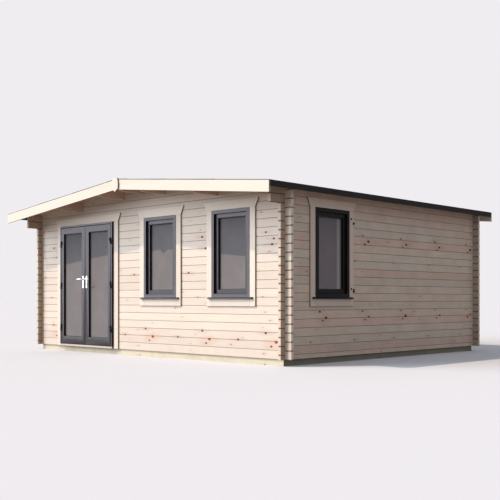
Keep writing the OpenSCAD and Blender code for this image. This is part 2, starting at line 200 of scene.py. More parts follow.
def knotPart(tree, across, up, radius, part):
    flat, inner, outer = knotLook[part]
    far = farness(tree, times(tree, across, flat), up)
    return fade(tree, maths(tree, "DIVIDE", far, radius), inner, outer, 1.0, 0.0)


def makeKnotRow():                               # one knot repeated along a wall
    tree, takes, ends = newGroup("Knot row", ["Along", "Height", "Start", "Spacing", "Place", "Size"],
                                 ["Core", "Halo"])
    along, height, start, spacing, place, size = takes[:6]
    steps = maths(tree, "DIVIDE", minus(tree, along, start), spacing)
    cell = maths(tree, "ROUND", steps)
    dice = chance(tree, cell, place, start)
    across = times(tree, minus(tree, steps, cell), spacing)
    across = plus(tree, across, timesPlus(tree, dice[0], 0.024, -0.012))
    up = minus(tree, height, place)
    radius = times(tree, size, timesPlus(tree, dice[1], 0.5, 0.75))
    give(tree, ends, *(knotPart(tree, across, up, radius, part) for part in ("rowCore", "rowHalo")))
    return tree


def makeScatter():                               # small knots here and there on every board
    tree, takes, ends = newGroup("Scattered knots", ["Along", "Middle", "Board", "Spread", "Size", "Share"],
                                 ["Core", "Halo"])
    along, middle, board, spread, size, share = takes[:6]
    steps = plus(tree, maths(tree, "DIVIDE", along, spread), times(tree, board, 0.37))
    cell = maths(tree, "FLOOR", steps)
    dice, more = chance(tree, cell, board, 4.0), chance(tree, cell, board, 9.0)
    inside = minus(tree, minus(tree, steps, cell), timesPlus(tree, dice[0], 0.5, 0.25))
    across = times(tree, inside, spread)
    up = minus(tree, middle, timesPlus(tree, dice[1], 0.07, -0.035))
    radius = times(tree, size, timesPlus(tree, more[0], 0.8, 0.5))
    there = maths(tree, "LESS_THAN", dice[2], share)
    give(tree, ends, *(times(tree, there, knotPart(tree, across, up, radius, part))
                       for part in ("looseCore", "looseHalo")))
    return tree


def makeEndGrain():                              # growth rings on a sawn end
    tree, takes, ends = newGroup("End grain", ["Side", "Middle", "Board"], ["Rings", "Height"])
    side, middle, board = takes[:3]
    dice = chance(tree, board, 2.0, 7.0)
    across = plus(tree, side, timesPlus(tree, dice[0], 0.03, 0.01))
    up = plus(tree, middle, timesPlus(tree, dice[1], 0.08, -0.04))
    wobble = noise(tree, vectorOf(tree, side, middle, board), 22.0, 2.0)
    far = timesPlus(tree, wobble, 0.004, farness(tree, across, up))
    ringWidth = 0.0042
    rings = fade(tree, maths(tree, "SINE", times(tree, far, math.tau / ringWidth)), -0.6, 1.0)
    give(tree, ends, rings, times(tree, rings, -0.5))
    return tree


def makeDust():                                  # pale dust low down and on ledges
    tree, takes, ends = newGroup("Dust", ["X", "Y", "Z", "Facing Up", "Reach"], ["Share"])
    x, y, z, facing, reach = takes[:5]
    patches = noise(tree, vectorOf(tree, x, y, z), 6.0, 4.0, 0.6)
    low = fade(tree, z, 0.0, reach, 1.0, 0.0)
    ledge = times(tree, maths(tree, "MAXIMUM", facing, 0.0), 0.5)
    give(tree, ends, times(tree, fade(tree, patches, 0.4, 0.75), most(tree, (low, ledge))))
    return tree


courses, grain, knotRow = makeCourses(), makeGrain(), makeKnotRow()
scatter, endGrain, dust = makeScatter(), makeEndGrain(), makeDust()
print("shared effects built")


# Parts of a finish that every material sets

def surfaceOf(name):                             # a new material with its shader, and object place and normal
    material = bpy.data.materials.new(name)
    material.use_nodes = True
    tree = material.node_tree
    shader, spot = tree.nodes["Principled BSDF"], addNode(tree, "ShaderNodeTexCoord").outputs
    return material, tree, shader, partsOf(tree, spot["Object"]), partsOf(tree, spot["Normal"])


def setSurface(tree, shader, colour, roughness, specular=0.5):
    feeds = (("Base Color", colour), ("Roughness", roughness), ("Specular IOR Level", specular))
    feedInto(tree, shader, feeds)


def setBump(tree, shader, height, depth, strength=1.0):
    feeds = (("Strength", strength), ("Distance", depth), ("Height", height))
    relief = feedInto(tree, addNode(tree, "ShaderNodeBump"), feeds).outputs[0]
    tree.links.new(relief, shader.inputs["Normal"])
    return relief


def dusted(tree, colour, place, normal, reach, share, dustColour):
    grime = useGroup(tree, dust, *place[:3], normal[2], reach)[0]
    return blendColour(tree, times(tree, grime, share), colour, dustColour)


# Timber

tints = {
    "cream": (0.870, 0.798, 0.710),              # front and rear logs
    "blush": (0.870, 0.785, 0.690),
    "straw": (0.875, 0.808, 0.700),
    "ash": (0.835, 0.788, 0.715),
    "warm": (0.800, 0.680, 0.580),               # side logs
    "rose": (0.800, 0.640, 0.560),
    "pewter": (0.785, 0.700, 0.620),
    "green": (0.770, 0.705, 0.615),
    "pale": (0.820, 0.730, 0.630),
    "trim": (0.885, 0.820, 0.720),               # trim boards, bargeboards and finials
    "trimWarm": (0.880, 0.805, 0.700),
    # darker copies of the trim tints for the side wall: painted shade
    "sideTrim": (0.800, 0.705, 0.620),
    "sideTrimWarm": (0.790, 0.690, 0.600),
    "sill": (0.660, 0.600, 0.540),
    "deck": (0.720, 0.500, 0.340),               # floor and roof boards
    "deckPale": (0.750, 0.550, 0.390),
    "deckRose": (0.700, 0.460, 0.310),
    "purlin": (0.700, 0.530, 0.430),
    "purlinPale": (0.730, 0.560, 0.460),
    "treated": (0.840, 0.770, 0.590),
    "treatedPale": (0.860, 0.795, 0.615),
}

timberLook = {
    "along": "X",                                # the way of the grain
    "across": "Z",                               # the way from board to board
    "start": 0.0,                                # lower edge of the first board
    "rise": 0.3,                                 # from one board to the next
    "joint": 0.0,                                # width of the dark joint
    "rows": ("cream",),                          # each board's tint, repeated
    "knots": (),
    "spacing": 1.0,                              # between the repeats of a knot along a wall
    "share": 0.2,                                # how many places have a loose knot
    "knotSize": 0.008,
    "streaks": 0.35,
    "byFace": False,                             # grain runs level along whichever face is seen
    "dark": (0.620, 0.440, 0.300),               # late wood in the growth rings
    "streak": (0.800, 0.520, 0.360),
    "knot": (0.055, 0.034, 0.026),
    "redKnot": (0.330, 0.065, 0.040),
    "halo": (0.690, 0.400, 0.260),
    "jointColour": (0.200, 0.125, 0.080),
    "endTint": (0.560, 0.430, 0.310),
    "endTone": (1.0, 1.0, 1.0),                  # painted shade: colour of the parts beyond the corners against the wall, and of the faces that face along the grain where byFace is set
    "corners": None,                             # middle of the wall and half of its length
    "cornerJoint": 2.4,                          # how much wider the joint is beyond the corners
    "ringShare": 0.17,
    "patches": (1.1, 0.16),                      # how often the tone changes along a board, and by how much
    "edgeTone": None,                            # painted shade: colour of a board's edges against its face
    "dirt": (0.420, 0.370, 0.300),
    "dirtReach": 0.35,                           # height above the ground
    "dirtShare": 0.22,
    "boardTones": (0.10, 0.89),                  # spread from board to board, and the lowest tone
    "fibreTones": (0.22, 0.89),
    "haloShare": 0.30,
    "endShare": 0.55,                            # of the rings on a sawn end
    "jointShare": 0.85,
    "roughness": (0.2, 0.56),                    # spread from fibre to fibre, and the lowest
    "relief": 0.0009,
}


def rowTint(tree, board, rows):
    share = maths(tree, "FRACT", maths(tree, "DIVIDE", plus(tree, board, 0.5), len(rows)))
    ramp = addNode(tree, "ShaderNodeValToRGB", (share,))
    ramp.color_ramp.interpolation = "CONSTANT"
    stops = ramp.color_ramp.elements
    stops.remove(stops[-1])
    for index, tint in enumerate(rows):
        stop = stops[0] if index == 0 else stops.new(index / len(rows))
        stop.position, stop.color = index / len(rows), (*tints[tint], 1)
    return ramp.outputs[0]


def timber(name, **changes):
    look = {**timberLook, **changes}
    material, tree, shader, place, normal = surfaceOf(name)
    along, across = "XYZ".index(look["along"]), "XYZ".index(look["across"])
    inward = 3 - along - across
    lengthwise, height, deep = place[along], place[across], place[inward]
    ending = maths(tree, "ABSOLUTE", normal[along])
    turned = maths(tree, "GREATER_THAN", ending, 0.7)
    if look["byFace"]:
        swap = addNode(tree, "ShaderNodeMix", (turned, None, lengthwise, deep), data_type="FLOAT")
        lengthwise, ending = swap.outputs[0], 0.0
    start, rise, joint = look["start"], look["rise"], look["joint"]
    board, middle, seam = useGroup(tree, courses, height, start, rise, joint or 0.001)[:3]

    core, halo = useGroup(tree, scatter, lengthwise, middle, board, knotLook["looseSpread"],
                          look["knotSize"], look["share"])[:2]
    cores, redCores, halos = [core], [], [halo]
    for kind, up, first, size in look["knots"]:
        core, halo = useGroup(tree, knotRow, lengthwise, height, first, look["spacing"], up, size)[:2]
        (redCores if kind == "red" else cores).append(core)
        halos.append(halo)
    knotMask, haloMask = most(tree, cores), most(tree, halos)

    streak, rings, fibres, relief = useGroup(tree, grain, lengthwise, height, deep, board, haloMask)[:4]
    boardTint = rowTint(tree, board, look["rows"])
    dice = chance(tree, board, 1.0, 3.0)
    often, much = look["patches"]
    slow = noise(tree, vectorOf(tree, times(tree, lengthwise, often), board, 0.0), 1.0, 2.0)
    tone = timesPlus(tree, dice[0], *look["boardTones"])
    tone = plus(tree, tone, timesPlus(tree, slow, much, -much / 2))
    colour = toned(tree, boardTint, tone)
    colour = blendColour(tree, times(tree, streak, look["streaks"]), colour, look["streak"])
    colour = blendColour(tree, times(tree, rings, look["ringShare"]), colour, look["dark"])
    colour = toned(tree, colour, timesPlus(tree, fibres, *look["fibreTones"]))
    colour = blendColour(tree, times(tree, haloMask, look["haloShare"]), colour, look["halo"])
    if redCores:
        colour = blendColour(tree, most(tree, redCores), colour, look["redKnot"])
    colour = blendColour(tree, knotMask, colour, look["knot"])

    sawn = fade(tree, ending, 0.6, 0.85)         # 1 on the sawn ends
    ringShare, ringRelief = useGroup(tree, endGrain, deep, middle, board)[:2]
    endColour = blendColour(tree, times(tree, ringShare, look["endShare"]), boardTint, look["endTint"])
    colour = blendColour(tree, sawn, colour, endColour)
    seamShare = times(tree, seam, look["jointShare"])
    if look["corners"]:
        wallMiddle, reach = look["corners"]
        fromMiddle = maths(tree, "ABSOLUTE", minus(tree, lengthwise, wallMiddle))
        beyond = maths(tree, "GREATER_THAN", fromMiddle, reach)
        # painted shade: the parts beyond the corners take the darker tone
        colour = blendColour(tree, minus(tree, beyond, sawn), colour, toned(tree, colour, look["endTone"]))
        wideSeam = useGroup(tree, courses, height, start, rise, joint * look["cornerJoint"])[2]
        seamShare = most(tree, (seamShare, times(tree, beyond, wideSeam)))
    if joint:
        colour = blendColour(tree, seamShare, colour, look["jointColour"])
    colour = dusted(tree, colour, place, normal, look["dirtReach"], look["dirtShare"], look["dirt"])
    # painted shade: a board's edge faces take the darker tone
    if look["edgeTone"]:
        edge = maths(tree, "LESS_THAN", maths(tree, "ABSOLUTE", normal[inward]), 0.5)
        colour = blendColour(tree, edge, colour, toned(tree, colour, look["edgeTone"]))
    if look["byFace"]:
        # painted shade: the faces that face along the grain take the darker tone
        colour = blendColour(tree, turned, colour, toned(tree, colour, look["endTone"]))

    setSurface(tree, shader, colour, timesPlus(tree, fibres, *look["roughness"]), 0.25)
    mixed = addNode(tree, "ShaderNodeMix", (sawn, None, relief, ringRelief), data_type="FLOAT").outputs[0]
    setBump(tree, shader, timesPlus(tree, most(tree, cores + redCores), 0.8, mixed), look["relief"])
    return material


logCourse = {"rise": 0.109, "joint": 0.0055}
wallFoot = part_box("front_wall_right")[0].z

frontRows = ("blush blush blush cream straw blush blush cream cream blush straw cream cream ash "
             "cream straw cream cream ash cream cream cream").split()
sideRows = ("warm rose pewter pewter rose warm pewter warm pale green rose green green warm rose green "
            "pewter warm rose warm warm").split()

frontKnots = (                                   # kind, height, first place along the wall, size
    ("dark", 0.400, 2.410, 0.015), ("dark", 0.303, 1.920, 0.013), ("red", 0.292, 1.380, 0.019),
    ("red", 0.236, 2.500, 0.017), ("dark", 1.180, 0.970, 0.016), ("dark", 0.850, 2.340, 0.009),
    ("dark", 1.655, 2.410, 0.015), ("dark", 1.570, 1.360, 0.012), ("dark", 1.500, 2.500, 0.019),
)
sideKnots = (
    ("dark", 1.680, -0.546, 0.014), ("dark", 1.605, -0.426, 0.019), ("dark", 1.562, -0.496, 0.015),
    ("dark", 0.662, -0.546, 0.013), ("dark", 0.582, -0.426, 0.020), ("dark", 0.546, -0.496, 0.015),
    ("dark", 1.330, 0.174, 0.009), ("dark", 0.280, 0.174, 0.010),
)

frontLogs = {**logCourse, "start": wallFoot, "rows": frontRows, "knots": frontKnots, "spacing": 1.185,
             "share": 0.24, "knotSize": 0.0065, "streaks": 0.22, "corners": (0.0, 2.7205),
             "streak": (0.810, 0.600, 0.450), "endTint": (0.740, 0.620, 0.500)}
# the rear and side log ends beyond the corners are darkened: painted shade
rearLogs = {**frontLogs, "share": 0.16, "knotSize": 0.007, "endTone": (0.60, 0.56, 0.55)}
sideLogs = {**logCourse, "along": "Y", "start": wallFoot - logCourse["rise"] / 2, "rows": sideRows,
            "knots": sideKnots, "spacing": 0.905, "share": 0.16, "knotSize": 0.007, "streaks": 0.30,
            "corners": (0.144, 2.2705), "endTone": (0.68, 0.66, 0.58), "endTint": (0.780, 0.660, 0.540),
            "dark": (0.480, 0.330, 0.240), "ringShare": 0.26, "patches": (2.6, 0.42)}
logFinish = {"front": timber("logsFront", **frontLogs), "rear": timber("logsRear", **rearLogs),
             "side": timber("logsSide", **sideLogs)}

trimLook = {"rise": 0.4, "rows": ("trim", "trimWarm", "trim"), "share": 0.10, "knotSize": 0.006,
            "streaks": 0.15, "dark": (0.790, 0.660, 0.520), "streak": (0.890, 0.760, 0.620),
            "edgeTone": (0.40, 0.37, 0.34), "patches": (1.1, 0.06)}
# the side wall's trim boards use the darker tints: painted shade
sideTrimLook = {**trimLook, "rows": ("sideTrim", "sideTrimWarm"), "share": 0.18, "knotSize": 0.007}
sillLook = {**trimLook, "rows": ("sill",), "streaks": 0.2}
trimFinish = {
    "upright": timber("trimUpright", **trimLook, along="Z", across="X"),
    "level": timber("trimLevel", **trimLook),
    "sideUpright": timber("trimSideUpright", **sideTrimLook, along="Z", across="Y"),
    "sideLevel": timber("trimSideLevel", **sideTrimLook, along="Y"),
    "threshold": timber("thresholdTimber", **sillLook),
}

boardWidths = {"roof": 0.09644, "floor": 0.11130}
roofBoardBox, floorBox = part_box("roof_boards_right"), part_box("floor_boards")
deckRows = "deck deckPale deckRose deck deckPale deckPale deckRose".split()
deckLook = {"across": "Y", "rows": deckRows, "streaks": 0.4}
deckFinish = {
    "roof": timber("roofBoards", **deckLook, start=roofBoardBox[0].y, rise=boardWidths["roof"], joint=0.0022,
                   share=0.22),
    "floor": timber("floorBoards", **deckLook, start=floorBox[0].y, rise=boardWidths["floor"], joint=0.0018,
                    share=0.25, knotSize=0.009),
    "purlin": timber("purlinTimber", along="Y", across="X", rise=0.235, rows=("purlin", "purlinPale"),
                     share=0.3, knotSize=0.010, streaks=0.5),
}
# the base's faces towards +X and -X are darkened: painted shade
treatedLook = {"start": -0.5, "rise": 1.0, "rows": ("treated", "treatedPale"), "knotSize": 0.007,
               "streaks": 0.4, "byFace": True, "dark": (0.560, 0.500, 0.340), "streak": (0.680, 0.630, 0.430),
               "dirt": (0.360, 0.330, 0.260), "endTone": (0.36, 0.37, 0.40)}
treatedFinish = timber("treatedTimber", **treatedLook)
print("timber finishes made")


# Paint, glass, metal, rubber and roofing

paintLooks = {                                   # colour, worn patches, dust, gloss
    "anthracitePaint": ((0.022, 0.022, 0.027), (0.038, 0.038, 0.044), (0.16, 0.15, 0.14), 0.36),
    # a darker, less glossy copy of the paint: painted shade for faces out of the light
    "shadedPaint": ((0.012, 0.011, 0.012), (0.018, 0.017, 0.018), (0.040, 0.038, 0.036), 0.06),
}
paintSkin = {
    "strokes": (240.0, 240.0, 9.0),              # brush strokes per metre in each direction
    "roughness": (0.12, 0.26),                   # spread from patch to patch, and the lowest
    "specularTint": (1.0, 0.92, 0.96, 1.0),
    "dustReach": 0.45,
    "dustShare": 0.10,
    "relief": 0.00012,
}


def paint(name):
    plain, worn, dusty, gloss = paintLooks[name]
    material, tree, shader, place, normal = surfaceOf(name)
    spot = vectorOf(tree, *place[:3])
    clouds = noise(tree, spot, 3.0, 4.0, 0.6)
    skin = noise(tree, spot, 900.0)
    brushed = stretchedNoise(tree, place[:3], paintSkin["strokes"])
    colour = blendColour(tree, fade(tree, clouds, 0.35, 0.8), plain, worn)
    colour = dusted(tree, colour, place, normal, paintSkin["dustReach"], paintSkin["dustShare"], dusty)
    setSurface(tree, shader, colour, timesPlus(tree, clouds, *paintSkin["roughness"]), gloss)
    shader.inputs["Specular Tint"].default_value = paintSkin["specularTint"]
    setBump(tree, shader, timesPlus(tree, brushed, 0.6, skin), paintSkin["relief"], 0.6)
    return material


glassLook = {
    "alpha": 0.95,
    "ior": 1.5,
    "gloss": 0.07,
    "lean": 1.0,                                 # slats between the panes lean back, so they catch the sun
    "bandMiddle": -1.038,                        # pale upright band in the side window
    "bandReach": 0.042,
    "bandColour": (0.640, 0.610, 0.640),
}
# the side pane's tints are lighter than the front panes': painted light, making up for the light the leaning
# normal takes from it in the shade
glassTints = {"paneGlass": ((0.204, 0.199, 0.208), (0.241, 0.236, 0.244)),
              "sidePaneGlass": ((0.320, 0.285, 0.315), (0.370, 0.330, 0.360))}


def pane(name):
    tint, filmTint = glassTints[name]
    material, tree, shader, place = surfaceOf(name)[:4]
    spot = vectorOf(tree, *place[:3])
    film = noise(tree, spot, 2.2, 3.0, 0.6)
    specks = noise(tree, spot, 160.0)
    colour = blendColour(tree, fade(tree, film, 0.4, 0.8), tint, filmTint)
    if name.startswith("side"):
        fromBand = maths(tree, "ABSOLUTE", minus(tree, place[1], glassLook["bandMiddle"]))
        band = fade(tree, fromBand, 0.0, glassLook["bandReach"], 0.8, 0.0)
        colour = blendColour(tree, band, colour, glassLook["bandColour"])
    setSurface(tree, shader, colour, timesPlus(tree, film, 0.06, 0.03), glassLook["gloss"])
    shader.inputs["Alpha"].default_value = glassLook["alpha"]
    shader.inputs["IOR"].default_value = glassLook["ior"]
    relief = setBump(tree, shader, timesPlus(tree, specks, 0.02, film), 0.0004, 0.25)
    leaning = addNode(tree, "ShaderNodeVectorMath", (relief, (0, 0, glassLook["lean"])), operation="ADD")
    leaning = addNode(tree, "ShaderNodeVectorMath", (leaning.outputs[0],), operation="NORMALIZE")
    tree.links.new(leaning.outputs[0], shader.inputs["Normal"])
    return material


metalLooks = {                                   # colour, metallic, roughness, brush marks, gloss
    "satinChrome": ((0.95, 0.95, 0.96), 0.55, 0.30, 0.10, 0.5),
    "blackMetal": ((0.012, 0.012, 0.013), 0.0, 0.50, 0.12, 0.08),
    "zinc": ((0.55, 0.53, 0.49), 0.9, 0.38, 0.15, 0.5),
}
polishMarks = (60.0, 60.0, 900.0)                # marks per metre in each direction


def metal(name):
    colour, metallic, roughness, marks, gloss = metalLooks[name]
    material, tree, shader, place = surfaceOf(name)[:4]
    brush = stretchedNoise(tree, place[:3], polishMarks)
    stain = noise(tree, vectorOf(tree, *place[:3]), 45.0, 3.0, 0.6)
    darker = [part * 0.8 for part in colour]
    stained = blendColour(tree, fade(tree, stain, 0.4, 0.8, 0.0, 0.7), colour, darker)
    setSurface(tree, shader, stained, timesPlus(tree, brush, marks, roughness), gloss)
    shader.inputs["Metallic"].default_value = metallic
    setBump(tree, shader, brush, 0.00008, 0.4)
    return material


rubberLook = {"colour": (0.014, 0.014, 0.015), "bloom": (0.032, 0.032, 0.034)}


def rubber():
    material, tree, shader, place = surfaceOf("sealRubber")[:4]
    bloom = noise(tree, vectorOf(tree, *place[:3]), 30.0, 3.0, 0.6)
    colour = blendColour(tree, bloom, rubberLook["colour"], rubberLook["bloom"])
    setSurface(tree, shader, colour, timesPlus(tree, bloom, 0.2, 0.5))
    setBump(tree, shader, bloom, 0.0002, 0.4)
    return material


feltLook = {
    "colour": (0.016, 0.016, 0.018),
    "granule": (0.050, 0.050, 0.053),
    "granules": 700.0,                           # per metre
    "dust": (0.10, 0.097, 0.09),
    "dustReach": 0.1,
    "dustShare": 0.3,
    "relief": 0.0008,
}


def felt():
    material, tree, shader, place, normal = surfaceOf("roofingFelt")
    spot = vectorOf(tree, *place[:3])
    granules = noise(tree, spot, feltLook["granules"], 2.0, 0.7)
    patches = noise(tree, spot, 1.6, 4.0, 0.6)
    colour = blendColour(tree, fade(tree, granules, 0.52, 0.7), feltLook["colour"], feltLook["granule"])
    colour = toned(tree, colour, timesPlus(tree, patches, 0.7, 0.62))
    reach, share = feltLook["dustReach"], feltLook["dustShare"]
    colour = dusted(tree, colour, place, normal, reach, share, feltLook["dust"])
    setSurface(tree, shader, colour, timesPlus(tree, granules, 0.2, 0.72), 0.2)
    setBump(tree, shader, timesPlus(tree, patches, 0.5, granules), feltLook["relief"], 0.8)
    return material


paintFinish, shadedPaint = paint("anthracitePaint"), paint("shadedPaint")
paneFinish, sidePaneFinish = pane("paneGlass"), pane("sidePaneGlass")
rubberFinish, feltFinish = rubber(), felt()
chromeFinish, hingeFinish, zincFinish = (metal(name) for name in ("satinChrome", "blackMetal", "zinc"))
print("other finishes made")


# Studio

studio = {
    "cameraPlace": (9.602, -9.834, 0.813),
    "cameraTurn": 44.126,                        # degrees about Z, 0 looks along +Y
    "lens": 61.08,
    "frameRise": 0.0997,                         # share of the frame's width
    "lampPlace": (-4, -6, 8),
    "sunHeading": (0.361, 0.509, -0.782),
    "sunStrength": 2.05,
    "sunWidth": 0.6,                             # degrees
    "sunColour": (1.0, 0.77, 0.58),
    "fillHeading": (0.629, 0.698, -0.342),
    "fillStrength": 2.9,
    "fillWidth": 50.0,
    "fillColour": (0.90, 0.93, 1.0),
    "skyStrength": 0.47,
    "skyColour": (0.98, 0.97, 1.0),
    "backdropColour": (0.871, 0.847, 0.871),
    "floorWidth": 400.0,
    "floorColour": (0.18, 0.175, 0.18),
    "floorSeen": (0.696, 0.738, 0.802),
}


def seenDirectly(tree):                          # 1 for the camera, for reflections and through glass
    path = addNode(tree, "ShaderNodeLightPath").outputs
    return maths(tree, "MAXIMUM", path["Is Camera Ray"],
                 maths(tree, "MAXIMUM", path["Is Glossy Ray"], path["Is Transmission Ray"]))


def makeStudio():
    bpy.ops.object.camera_add(location=studio["cameraPlace"],
                              rotation=(math.radians(90), 0, math.radians(studio["cameraTurn"])))
    camera = bpy.context.object
    camera.data.lens, camera.data.shift_y = studio["lens"], studio["frameRise"]
    camera.data.clip_end = 1000
    scene.camera = camera

    for lamp in ("sun", "fill"):
        bpy.ops.object.light_add(type="SUN", location=studio["lampPlace"])
        light = bpy.context.object
        light.name = lamp + "Lamp"
        light.rotation_euler = Vector(studio[lamp + "Heading"]).to_track_quat("-Z", "Y").to_euler()
        light.data.energy, light.data.color = studio[lamp + "Strength"], studio[lamp + "Colour"]
        light.data.angle = math.radians(studio[lamp + "Width"])

    world = bpy.data.worlds.new("studioSky")
    scene.world = world
    world.use_nodes = True
    tree = world.node_tree
    skyFeeds = ((0, (*studio["skyColour"], 1)), (1, studio["skyStrength"]))
    sky = feedInto(tree, tree.nodes["Background"], skyFeeds)
    backdrop = addNode(tree, "ShaderNodeBackground", ((*studio["backdropColour"], 1), 1.0))
    mixed = addNode(tree, "ShaderNodeMixShader", (seenDirectly(tree), sky.outputs[0], backdrop.outputs[0]))
    tree.links.new(mixed.outputs[0], tree.nodes["World Output"].inputs["Surface"])

    bpy.ops.mesh.primitive_plane_add(size=studio["floorWidth"])
    floor = bpy.context.object
    floor.name = "studioFloor"
    material, tree, shader = surfaceOf("studioFloor")[:3]
    colour = blendColour(tree, seenDirectly(tree), studio["floorColour"], studio["floorSeen"])
    setSurface(tree, shader, colour, 1.0, 0.0)
    floor.data.materials.append(material)


makeStudio()
print("studio made")


# Modelling helpers

def pickOnly(*pieces):
    bpy.ops.object.select_all(action="DESELECT")
    for piece in pieces:
        piece.select_set(True)
    bpy.context.view_layer.objects.active = pieces[0]


def settle(piece):                               # puts the piece's place, turn and size in its mesh
    pickOnly(piece)
    bpy.ops.object.transform_apply(location=True, rotation=True, scale=True)
    return piece


def block(low, high):
    bpy.ops.object.select_all(action="DESELECT")
    middle = [(a + b) / 2 for a, b in zip(low, high)]
    bpy.ops.mesh.primitive_cube_add(size=1, location=middle)
    piece = bpy.context.object
    piece.scale = [b - a for a, b in zip(low, high)]
    return settle(piece)


def rod(middle, radius, length, axis="Y", sides=24):
    bpy.ops.object.select_all(action="DESELECT")
    turns = {"X": (0, math.pi / 2, 0), "Y": (math.pi / 2, 0, 0), "Z": (0, 0, 0)}
    bpy.ops.mesh.primitive_cylinder_add(vertices=sides, radius=radius, depth=length, location=middle,
                                        rotation=turns[axis])
    return settle(bpy.context.object)


def editPicked(piece, kind, wanted):             # enters edit mode with only the wanted parts picked
    pickOnly(piece)
    kinds = ("vertices", "edges", "polygons")
    bpy.context.tool_settings.mesh_select_mode = [kind == each for each in kinds]
    mesh = piece.data
    for group in (mesh.vertices, mesh.edges, mesh.polygons):
        group.foreach_set("select", [False] * len(group))
    for part in getattr(mesh, kind):
        part.select = bool(wanted(part))
    bpy.ops.object.mode_set(mode="EDIT")


def leaveEdit():
    bpy.ops.object.mode_set(mode="OBJECT")


def lengthAlong(piece, edge, axis):              # how far an edge reaches along one axis
    first, second = (piece.data.vertices[index].co[axis] for index in edge.vertices)
    return abs(first - second)


def nudge(piece, wanted, move):                  # shifts the wanted corners
    editPicked(piece, "vertices", wanted)
    bpy.ops.transform.translate(value=move)
    leaveEdit()


def bevelEdges(piece, wanted, width, segments=2):
    editPicked(piece, "edges", wanted)
    bpy.ops.mesh.bevel(offset=width, segments=segments)
    leaveEdit()


def pull(*move):                                 # extrudes what is picked
    bpy.ops.mesh.extrude_region_move(TRANSFORM_OT_translate={"value": move})


def mendNormals(piece):
    editPicked(piece, "polygons", lambda face: True)
    bpy.ops.mesh.normals_make_consistent(inside=False)
    leaveEdit()


def modify(piece, kind, **settings):
    pickOnly(piece)
    made = piece.modifiers.new(kind.title(), kind)
    for key, value in settings.items():
        setattr(made, key, value)
    bpy.ops.object.modifier_apply(modifier=made.name)
    return piece


edgeAngles = {"sharp": 35, "flat": 21}           # degrees: rounded above the one, shaded flat above the other


def soften(piece, width, segments=2):            # rounds the sharp edges
    return modify(piece, "BEVEL", width=width, segments=segments, limit_method="ANGLE",
                  angle_limit=math.radians(edgeAngles["sharp"]), use_clamp_overlap=True)


def coat(piece, material):
    piece.data.materials.clear()
    piece.data.materials.append(material)
    return piece


def copied(piece, offset=(0, 0, 0), scale=(1, 1, 1)):
    twin = piece.copy()
    twin.data = piece.data.copy()
    scene.collection.objects.link(twin)
    twin.location, twin.scale = offset, scale
    settle(twin)
    if min(scale) < 0:
        mendNormals(twin)
    return twin


def join(pieces):
    pickOnly(*pieces)
    if len(pieces) > 1:
        bpy.ops.object.join()
    return bpy.context.view_layer.objects.active


def repeat(piece, count, step):                  # a row of copies as one piece
    return modify(piece, "ARRAY", count=count, use_relative_offset=False, use_constant_offset=True,
                  constant_offset_displace=step)


def finishPiece(piece, name, body, slotName=None, stands=()):
    piece.name = piece.data.name = name
    pickOnly(piece)
    bpy.ops.object.shade_smooth_by_angle(angle=math.radians(edgeAngles["flat"]))
    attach(piece, body)
    if stands:
        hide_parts(*stands)
    return piece


def softCopy(node, width, segments=2):           # a CAD node's shape with its edges rounded
    twin = nodes[node].copy()
    twin.data = nodes[node].data.copy()
    for key in list(twin.keys()):
        del twin[key]
    twin.parent = None
    scene.collection.objects.link(twin)
    editPicked(twin, "polygons", lambda face: True)
    bpy.ops.mesh.customdata_custom_splitnormals_clear()
    bpy.ops.mesh.remove_doubles(threshold=0.00002)
    bpy.ops.mesh.dissolve_limited(angle_limit=math.radians(0.5))
    leaveEdit()
    return soften(twin, width, segments)


def ring(x, z, width, front, back, lean=0.0):    # a mitred frame, its inner front edge pushed back by lean
    bpy.ops.object.select_all(action="DESELECT")
    bpy.ops.mesh.primitive_plane_add(size=1, rotation=(math.pi / 2, 0, 0),
                                     location=(sum(x) / 2, front, sum(z) / 2))
    piece = bpy.context.object
    piece.scale = (x[1] - x[0], z[1] - z[0], 1)
    settle(piece)
    editPicked(piece, "polygons", lambda face: True)
    bpy.ops.mesh.inset(thickness=width, depth=0, use_even_offset=True)
    bpy.ops.mesh.delete(type="FACE")
    bpy.ops.mesh.select_all(action="SELECT")
    pull(0, back - front, 0)
    leaveEdit()
    if lean:
        slack = width / 2
        nudge(piece, lambda vertex: abs(vertex.co.y - front) < 1e-5
              and x[0] + slack < vertex.co.x < x[1] - slack
              and z[0] + slack < vertex.co.z < z[1] - slack, (0, lean, 0))
    mendNormals(piece)
    return piece


def screwHead(radius=0.004, depth=0.0012):       # a countersunk head facing -Y, at the origin
    head = rod((0, -depth / 2, 0), radius, depth, "Y", 14)
    editPicked(head, "polygons", lambda face: face.normal.y < -0.9)
    bpy.ops.mesh.inset(thickness=radius * 0.5, depth=0)
    pull(0, depth * 0.7, 0)
    leaveEdit()
    return coat(soften(head, radius * 0.12, 1), zincFinish)


def copiesAt(template, places):                  # copies of a small part, which is then removed
    twins = [copied(template, place) for place in places]
    bpy.data.objects.remove(template)
    return twins


print("modelling helpers ready")


# CAD nodes that keep their own shape

def dressNodes():
    for material, names in ((logFinish["front"], "front_wall_left front_wall_right front_gable"),
                            (logFinish["rear"], "rear_wall"),
                            (logFinish["side"], "left_wall right_wall"),
                            (deckFinish["purlin"], "ridge_purlin left_purlins right_purlins"),
                            (treatedFinish, "base_frame floor_joists"),
                            (feltFinish, "roof_sheet"),
                            (paintFinish, "door_stop")):
        for name in names.split():
            coat(nodes[name], material)
    for name in nodes:
        if name.endswith("_glass"):
            coat(nodes[name], sidePaneFinish if name.startswith("side") else paneFinish)


dressNodes()


# Painted frames, leaves and sashes with rounded arrises

rounding = {"frame": 0.0025, "leaf": 0.003, "sash": 0.003, "board": 0.003, "felted": 0.002, "worn": 0.004,
            "hinge": 0.0008}
leafBodies = {"left_door": "left_door_leaf", "right_door": "right_door_leaf"}
windowNames = ("window_1", "window_2", "side_window")


def camel(words):
    first, *rest = words.split("_")
    return first + "".join(word.title() for word in rest)


